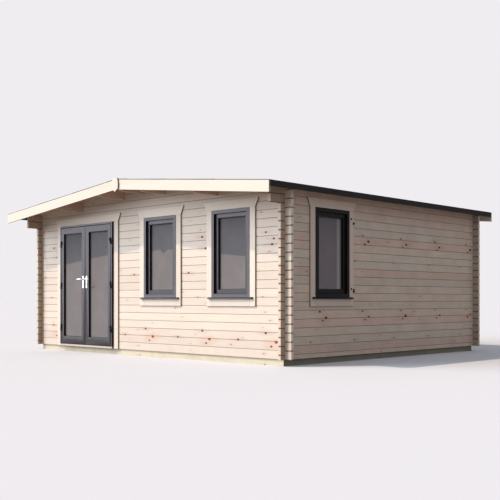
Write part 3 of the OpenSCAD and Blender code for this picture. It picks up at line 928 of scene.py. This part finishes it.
def roundPainted():
    jobs = [("door_frame", "doorFrameRounded", "cabin", rounding["frame"])]
    jobs += [(leaf, body.split("_")[0] + "DoorLeafRounded", body, rounding["leaf"])
             for body, leaf in leafBodies.items()]
    for window in windowNames:
        title = camel(window)
        jobs.append((window + "_frame", title + "FrameRounded", "cabin", rounding["frame"]))
        jobs.append((window + "_sash", title + "SashRounded", "cabin", rounding["sash"]))
    for node, name, body, width in jobs:
        # painted shade: the side window's frame and sash take the darker copy all over, as the side wall is
        # in shade
        piece = coat(softCopy(node, width), shadedPaint if node.startswith("side") else paintFinish)
        piece.data.materials.append(shadedPaint)
        for face in piece.data.polygons:         # painted shade: the faces turned towards +X, away from the sun, take the darker copy of the paint
            face.material_index = 1 if face.normal.x > 0.6 else 0
        finishPiece(piece, name, body, "painted_frame", [node])


roundPainted()
print("painted frames rounded")


# Boards on the edge of the roof, finials and threshold

def roundBoards():
    jobs = []                                    # node, rounding, finish, end of the piece's name, slot
    for end in ("front", "rear"):
        jobs += [(f"bargeboard_{end}_{side}", "board", trimFinish["level"], "Rounded", "trim_timber")
                 for side in ("left", "right")]
        jobs.append((f"finial_{end}", "board", trimFinish["upright"], "Rounded", "trim_timber"))
    jobs += [(f"eaves_board_{side}", "felted", feltFinish, "Wrapped", "roofing")
             for side in ("left", "right")]
    jobs.append(("door_threshold", "worn", trimFinish["threshold"], "Worn", "trim_timber"))
    for node, kind, finish, ending, slotName in jobs:
        piece = coat(softCopy(node, rounding[kind]), finish)
        finishPiece(piece, camel(node) + ending, "cabin", slotName, [node])


roundBoards()
print("roof edge boards rounded")


# Trim boards around the door and the windows

trimBoards = {
    "doorWidth": 0.115,
    "windowWidth": 0.097,
    "footHeight": 0.115,
    "headHeight": 0.115,
    "flare": 0.057,
    "headGap": 0.002,                            # the frame's top lies this far below the head board
    "rounding": 0.0025,
    "screwIn": 0.028,
    "screwRadius": 0.0035,
    "screwDepth": 0.0006,
}


def turnedBox(node, turned):                     # a node's box as seen from outside its wall, X to the right
    low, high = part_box(node)
    if not turned:
        return low, high
    return Vector((low.y, -high.x, low.z)), Vector((high.y, -low.x, high.z))


def turnBack(piece, turned):
    if turned:
        piece.rotation_euler.z = math.pi / 2
        settle(piece)
    return piece


def trimAround(node, boardWidth, hasFoot, turned):
    low, high = turnedBox(node, turned)
    flare, headTall = trimBoards["flare"], trimBoards["headHeight"]
    outer = (low.x + flare, high.x - flare)
    inner = (outer[0] + boardWidth, outer[1] - boardWidth)
    headFoot = high.z - headTall - trimBoards["headGap"]
    front, back = low.y, high.y
    uprightFinish = trimFinish["sideUpright" if turned else "upright"]
    levelFinish = trimFinish["sideLevel" if turned else "level"]
    parts = [coat(block((a, front, low.z), (b, back, headFoot)), uprightFinish)
             for a, b in ((outer[0], inner[0]), (inner[1], outer[1]))]
    if hasFoot:
        foot = block((inner[0], front, low.z), (inner[1], back, low.z + trimBoards["footHeight"]))
        parts.append(coat(foot, levelFinish))
    head = coat(block((outer[0], front, headFoot), (outer[1], back, high.z)), levelFinish)
    editPicked(head, "polygons", lambda face: face.normal.z > 0.9)
    wider = (high.x - low.x) / (outer[1] - outer[0])
    bpy.ops.transform.resize(value=(wider, 1, 1), center_override=(sum(outer) / 2, 0, 0))
    leaveEdit()
    parts.append(head)
    for part in parts:
        soften(part, trimBoards["rounding"])
    step = trimBoards["screwIn"]
    places = [(x, front, headFoot + z) for x in (outer[0] + step, outer[1] - step)
              for z in (step, headTall - step, -step)]
    rows = 4 if boardWidth > trimBoards["windowWidth"] else 3
    columns = (outer[0] + step, inner[0] - step, inner[1] + step, outer[1] - step)
    for row in range(rows):
        z = low.z + step + row * (headFoot - low.z - 3 * step) / rows
        places += [(x, front, z) for x in columns]
    parts += copiesAt(screwHead(trimBoards["screwRadius"], trimBoards["screwDepth"]), places)
    return turnBack(join(parts), turned)


for nodeName, boardWidth, hasFoot, turned in (
        ("door_trim", trimBoards["doorWidth"], False, False),
        ("window_1_trim", trimBoards["windowWidth"], True, False),
        ("window_2_trim", trimBoards["windowWidth"], True, False),
        ("side_window_trim", trimBoards["windowWidth"], True, True)):
    finishPiece(trimAround(nodeName, boardWidth, hasFoot, turned), camel(nodeName) + "Boards", "cabin",
                "trim_timber", [nodeName])
print("trim boards built")


# Glazing beads and seals in front of and behind each pane

glazing = {
    "held": 0.010,
    "bead": 0.009,                               # painted bead on the inside
    "seal": 0.0035,
    "sealProud": 0.0012,
    "sealUnder": 0.001,                          # how far the inner seal runs under the bead
    "gasket": 0.010,                             # black rubber on the outside
    "gasketProud": 0.004,
    "beadDepth": 0.55,                           # share of the depth from pane to leaf or sash
    "beadSlope": 0.6,
    "rounding": 0.0008,
}
paneHolders = (                                  # pane, what holds it, body, on the side wall
    ("left_door_glass", "left_door_leaf", "left_door", False),
    ("right_door_glass", "right_door_leaf", "right_door", False),
    ("window_1_glass", "window_1_sash", "cabin", False),
    ("window_2_glass", "window_2_sash", "cabin", False),
    ("side_window_glass", "side_window_sash", "cabin", True),
)


def makeGlazing():
    for pane, holder, body, turned in paneHolders:
        low, high = turnedBox(pane, turned)
        inside = turnedBox(holder, turned)[1]
        held, bead = glazing["held"], glazing["bead"]
        x, z = (low.x + held, high.x - held), (low.z + held, high.z - held)
        depth = (inside.y - high.y) * glazing["beadDepth"]
        beads = [ring(x, z, bead, high.y + depth, high.y, -depth * glazing["beadSlope"])]
        within = bead - glazing["sealUnder"]
        seals = [ring((x[0] + within, x[1] - within), (z[0] + within, z[1] - within), glazing["seal"],
                      high.y + glazing["sealProud"], high.y),
                 ring(x, z, glazing["gasket"], low.y - glazing["gasketProud"], low.y)]
        title = camel(pane.replace("_glass", ""))
        for parts, finish, name, slotName in ((beads, paintFinish, "GlazingBeads", "painted_frame"),
                                              (seals, rubberFinish, "GlazingSeals", None)):
            piece = coat(soften(join(parts), glazing["rounding"], 1), finish)
            finishPiece(turnBack(piece, turned), title + name, body, slotName)


makeGlazing()
print("glazing beads and seals built")


# Black rubber strips on the trim beside the door frame, where the frame stands out of its trim: painted
# shadow, standing in for the frame's shadow

shadowStrip = {"width": 0.015, "proud": 0.004, "rounding": 0.001}


def makeDoorShadowStrips():
    low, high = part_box("door_frame")
    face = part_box("door_trim")[0].y
    width, front = shadowStrip["width"], face - shadowStrip["proud"]
    strips = [soften(block((x, front, low.z), (x + width, face, high.z)), shadowStrip["rounding"], 1)
              for x in (low.x - width, high.x)]
    # painted shadow: black strips where the frame's shadow falls on the trim
    finishPiece(coat(join(strips), rubberFinish), "doorFrameSealStrips", "cabin")


makeDoorShadowStrips()
print("door seals built")


# Black hinge barrels and stay brackets beside the side window

fittings = {
    "footBelowSash": 0.048,
    "barrelRadius": 0.009,
    "barrelLength": 0.026,
    "barrelFromEnds": 0.110,
    "barrelIn": 0.062,
    "barrelRounding": 0.0015,
    "bracketWidth": 0.020,
    "bracketDepth": 0.014,
    "bracketRounding": 0.002,
    "brackets": ((0.062, 0.050), (0.965, 0.030)),   # height above the window's foot, and length
}


def makeFittings():
    frameHigh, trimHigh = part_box("side_window_frame")[1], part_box("side_window_trim")[1]
    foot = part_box("side_window_sash")[0].z - fittings["footBelowSash"]
    radius, inset = fittings["barrelRadius"], fittings["barrelFromEnds"]
    parts = []
    for z in (foot + inset, frameHigh.z - inset):
        place = (frameHigh.x + radius * 0.6, frameHigh.y - fittings["barrelIn"], z)
        barrel = rod(place, radius, fittings["barrelLength"], "Z", 20)
        parts.append(soften(barrel, fittings["barrelRounding"]))
    edge = trimHigh.y - trimBoards["flare"]
    for up, length in fittings["brackets"]:
        bracket = block((trimHigh.x, edge - fittings["bracketWidth"], foot + up),
                        (trimHigh.x + fittings["bracketDepth"], edge, foot + up + length))
        parts.append(soften(bracket, fittings["bracketRounding"]))
    finishPiece(coat(join(parts), hingeFinish), "sideWindowFittings", "cabin", "hinge_metal")


makeFittings()
print("side window fittings built")


# Floor boards and roof boards, one board modelled and repeated

laying = {                                       # gap at each edge, and the bevel along it
    "floor": {"gap": 0.0006, "bevel": 0.0015},
    "roof": {"gap": 0.0004, "bevel": 0.003},
}


def makeFloor():
    low, high = floorBox
    width, gap = boardWidths["floor"], laying["floor"]["gap"]
    board = block((low.x, low.y + gap, low.z), (high.x, low.y + width - gap, high.z))
    bevelEdges(board, lambda edge: all(
        board.data.vertices[index].co.z > high.z - 0.001 for index in edge.vertices),
               laying["floor"]["bevel"])
    repeat(board, round((high.y - low.y) / width), (0, width, 0))
    coat(board, deckFinish["floor"])
    finishPiece(board, "floorBoardsLaid", "cabin", "floor_timber", ["floor_boards"])


def nodeThickness(node):                         # upright thickness at the ridge
    heights = [vertex.co.z for vertex in nodes[node].data.vertices if abs(vertex.co.x) < 0.001]
    return max(heights) - min(heights)


def makeRoofBoards():
    low, high = roofBoardBox
    thick = nodeThickness("roof_boards_right")
    fall = high.z - low.z - thick
    width, gap = boardWidths["roof"], laying["roof"]["gap"]
    for side, sign in (("left", -1), ("right", 1)):
        ends = sorted((0.0, sign * (high.x - low.x)))
        board = block((ends[0], low.y + gap, high.z - thick), (ends[1], low.y + width - gap, high.z))
        bevelEdges(board, lambda edge: lengthAlong(board, edge, 0) > 1 and all(
            board.data.vertices[index].co.z < high.z - thick + 0.001 for index in edge.vertices),
                   laying["roof"]["bevel"])
        nudge(board, lambda vertex: abs(vertex.co.x) > 1, (0, 0, -fall))
        repeat(board, round((high.y - low.y) / width), (0, width, 0))
        node = f"roof_boards_{side}"
        coat(board, deckFinish["roof"])
        finishPiece(board, camel(node) + "Laid", "cabin", "roof_timber", [node])


makeFloor()
makeRoofBoards()
print("floor and roof boards laid")


# Roofing felt in lapped courses, a ridge cap and clout nails

roofing = {
    "courseWidth": 1.0,
    "lap": 0.085,
    "thickness": 0.0028,
    "ridgeGap": 0.02,
    "capReach": 0.24,
    "nailPitch": 0.130,
    "nailRadius": 0.0048,
    "nailHeight": 0.0016,
    "nailRounding": 0.0005,
    "nailIn": 0.03,
    "nailFromEnds": 0.05,
    "edgeIn": 0.006,
}


def courseFeet(reach):                           # how far each course's lower edge is from the ridge
    foot = reach - roofing["edgeIn"]
    while foot > roofing["capReach"]:
        yield foot
        foot -= roofing["courseWidth"] - roofing["lap"]


def atReach(reach):
    return lambda vertex: abs(abs(vertex.co.x) - reach) < 0.001


def makeFelt(low, high, slope):
    felt, edge, capReach = roofing["thickness"], roofing["edgeIn"], roofing["capReach"]
    strips = []
    for sign in (-1, 1):
        for foot in courseFeet(high.x):
            head = max(foot - roofing["courseWidth"], roofing["ridgeGap"])
            ends = sorted((sign * head, sign * foot))
            strip = block((ends[0], low.y + edge, high.z), (ends[1], high.y - edge, high.z + felt))
            lift = 0.0 if foot > high.x - 2 * edge else felt
            nudge(strip, atReach(foot), (0, 0, lift - slope * foot))
            nudge(strip, atReach(head), (0, 0, -slope * head))
            strips.append(soften(strip, felt * 0.35, 1))
        ends = sorted((0.0, sign * capReach))
        cap = block((ends[0], low.y + edge, high.z + felt), (ends[1], high.y - edge, high.z + 2 * felt))
        nudge(cap, atReach(capReach), (0, 0, -slope * capReach))
        strips.append(soften(cap, felt * 0.35, 1))
    finishPiece(coat(join(strips), feltFinish), "roofingFeltCourses", "cabin", "roofing")


def makeNails(low, high, slope):
    pitch = roofing["nailPitch"]
    count = int((high.y - low.y - 2 * roofing["nailFromEnds"]) / pitch)
    nails = []
    for sign in (-1, 1):
        for foot in (roofing["capReach"], *courseFeet(high.x)):
            line = foot - roofing["nailIn"]
            place = (sign * line, -(count - 1) * pitch / 2, high.z - slope * line + 2 * roofing["thickness"])
            nail = rod(place, roofing["nailRadius"], roofing["nailHeight"], "Z", 10)
            soften(nail, roofing["nailRounding"], 1)
            nails.append(repeat(nail, count, (0, pitch, 0)))
    finishPiece(coat(join(nails), zincFinish), "roofingCloutNails", "cabin")


def makeRoofing():
    low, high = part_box("roof_sheet")
    slope = (high.z - low.z - nodeThickness("roof_sheet")) / high.x
    makeFelt(low, high, slope)
    makeNails(low, high, slope)


makeRoofing()
print("roofing laid")


# Hinges with screws and pin caps

hingeDetail = {
    "height": 0.048,
    "pinIn": 0.008,                              # the pin from the knuckle's outer and front edges
    "flapThickness": 0.003,
    "screwIn": 0.012,
    "screwHeights": (0.012, 0.036),
    "screwRadius": 0.0032,
    "screwDepth": 0.0009,
    "capRadius": 0.0077,
    "capHeight": 0.003,
    "capRounding": 0.001,
}


def makeHinges():
    tall, capHeight, pinIn = hingeDetail["height"], hingeDetail["capHeight"], hingeDetail["pinIn"]
    for body in leafBodies:
        side = body.split("_")[0]
        node = f"{side}_door_hinges"
        low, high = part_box(node)
        sign = -1 if side == "left" else 1
        flapX, knuckleX = (low.x, high.x) if sign > 0 else (high.x, low.x)
        heights = (low.z, (low.z + high.z - tall) / 2, high.z - tall)
        parts = [coat(softCopy(node, rounding["hinge"], 1), hingeFinish)]
        places = [(flapX + sign * hingeDetail["screwIn"], high.y - hingeDetail["flapThickness"], z + up)
                  for z in heights for up in hingeDetail["screwHeights"]]
        parts += copiesAt(screwHead(hingeDetail["screwRadius"], hingeDetail["screwDepth"]), places)
        for z in heights:
            cap = rod((knuckleX - sign * pinIn, low.y + pinIn, z + tall + capHeight / 2),
                      hingeDetail["capRadius"], capHeight, "Z", 20)
            parts.append(coat(soften(cap, hingeDetail["capRounding"]), hingeFinish))
        finishPiece(join(parts), side + "DoorHingesFitted", body, "hinge_metal", [node])
    piece = coat(softCopy("door_frame_hinges", rounding["hinge"], 1), hingeFinish)
    finishPiece(piece, "doorFrameHingesFitted", "cabin", "hinge_metal", ["door_frame_hinges"])


makeHinges()
print("hinges built")


# Lever handles with rounded plates, roses, cylinders and screws

handle = {
    "plateWidth": 0.036,
    "plateDepth": 0.008,
    "plateRounding": 0.0014,
    "leverRadius": 0.009,
    "leverOut": 0.050,                           # middle of the lever from the leaf's face
    "leverLength": 0.122,
    "bend": 0.016,
    "tip": 0.003,
    "aboveLever": 0.050,
    "roseDepth": 0.006,
    "roseSize": 1.35,                            # its radius against the lever's
    "sink": 0.001,                               # how deep the parts on the plate reach into it
    "keyDown": 0.078,
    "keyRadius": 0.0085,
    "keyDepth": 0.006,
    "keyMiddle": 0.002,
    "keyTail": 0.022,                            # the cylinder's lower end below its middle
    "keyTailDepth": 0.004,
    "keyTailWidth": 0.010,
    "slotLength": 0.010,
    "slotWidth": 0.0014,
    "slotOut": 0.0052,
    "slotDepth": 0.0006,
    "screwIn": 0.012,
    "screwRadius": 0.0032,
    "screwDepth": 0.0008,
}


def leverAt(x, start, z, way):
    radius, bend = handle["leverRadius"], handle["bend"]
    straight = handle["leverOut"] - bend - handle["plateDepth"] + handle["sink"]
    bpy.ops.object.select_all(action="DESELECT")
    bpy.ops.mesh.primitive_circle_add(vertices=24, radius=radius, fill_type="NGON", location=(x, start, z),
                                      rotation=(math.pi / 2, 0, 0))
    lever = settle(bpy.context.object)
    editPicked(lever, "polygons", lambda face: True)
    pull(0, way * straight, 0)
    centre = (x + bend, start + way * straight, z)
    bpy.ops.mesh.spin(steps=7, angle=math.pi / 2 * way, center=centre, axis=(0, 0, 1))
    pull(handle["leverLength"] - radius - bend - 0.004, 0, 0)
    pull(handle["tip"], 0, 0)
    bpy.ops.transform.resize(value=(1, 0.75, 0.75))
    leaveEdit()
    mendNormals(lever)
    return lever


def blockAcross(x, width, y, depth, z):          # stands out by depth from y, to either side
    near, far = sorted((y, y + depth))
    return block((x - width / 2, near, z[0]), (x + width / 2, far, z[1]))


def handleHalf(x, face, z, bottom, top, way):    # one side of the door, way is -1 outside and 1 inside
    width, depth, roseDepth = handle["plateWidth"], handle["plateDepth"], handle["roseDepth"]
    plate = blockAcross(x, width, face, way * depth, (bottom, top))
    bevelEdges(plate, lambda edge: lengthAlong(plate, edge, 1) > depth / 2, width * 0.4, 6)
    start = face + way * (depth - handle["sink"])
    keyZ = z - handle["keyDown"]
    roseRadius = handle["leverRadius"] * handle["roseSize"]
    rose = rod((x, start + way * roseDepth / 2, z), roseRadius, roseDepth, "Y", 28)
    keyPlace = (x, start + way * handle["keyMiddle"], keyZ)
    key = rod(keyPlace, handle["keyRadius"], handle["keyDepth"], "Y", 28)
    tail = blockAcross(x, handle["keyTailWidth"], start, way * handle["keyTailDepth"],
                       (keyZ - handle["keyTail"], keyZ))
    parts = [soften(plate, handle["plateRounding"]), soften(rose, 0.0015), leverAt(x, start, z, way),
             soften(key, 0.0008, 1), soften(tail, 0.0012)]
    for part in parts:
        coat(part, chromeFinish)
    half = handle["slotLength"] / 2
    slot = blockAcross(x, handle["slotWidth"], start + way * handle["slotOut"], way * handle["slotDepth"],
                       (keyZ - half, keyZ + half))
    parts.append(coat(soften(slot, 0.0002, 1), hingeFinish))
    if way < 0:
        screw = screwHead(handle["screwRadius"], handle["screwDepth"])
        ends = (bottom + handle["screwIn"], top - handle["screwIn"])
        parts += copiesAt(screw, [(x, face - depth, end) for end in ends])
    return parts


def makeHandles():
    low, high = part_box("right_door_handle")
    leafLow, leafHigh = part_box("right_door_leaf")
    x = low.x + handle["plateWidth"] / 2
    z = high.z - handle["aboveLever"]
    parts = []
    for face, way in ((leafLow.y, -1), (leafHigh.y, 1)):
        parts += handleHalf(x, face, z, low.z, high.z, way)
    right = join(parts)
    doorMiddle = (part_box("left_door_leaf")[1].x + leafLow.x) / 2
    left = copied(right, (2 * doorMiddle, 0, 0), (-1, 1, 1))
    finishPiece(right, "rightDoorLeverHandle", "right_door", "handle_metal", ["right_door_handle"])
    finishPiece(left, "leftDoorLeverHandle", "left_door", "handle_metal", ["left_door_handle"])


makeHandles()
print("handles built")
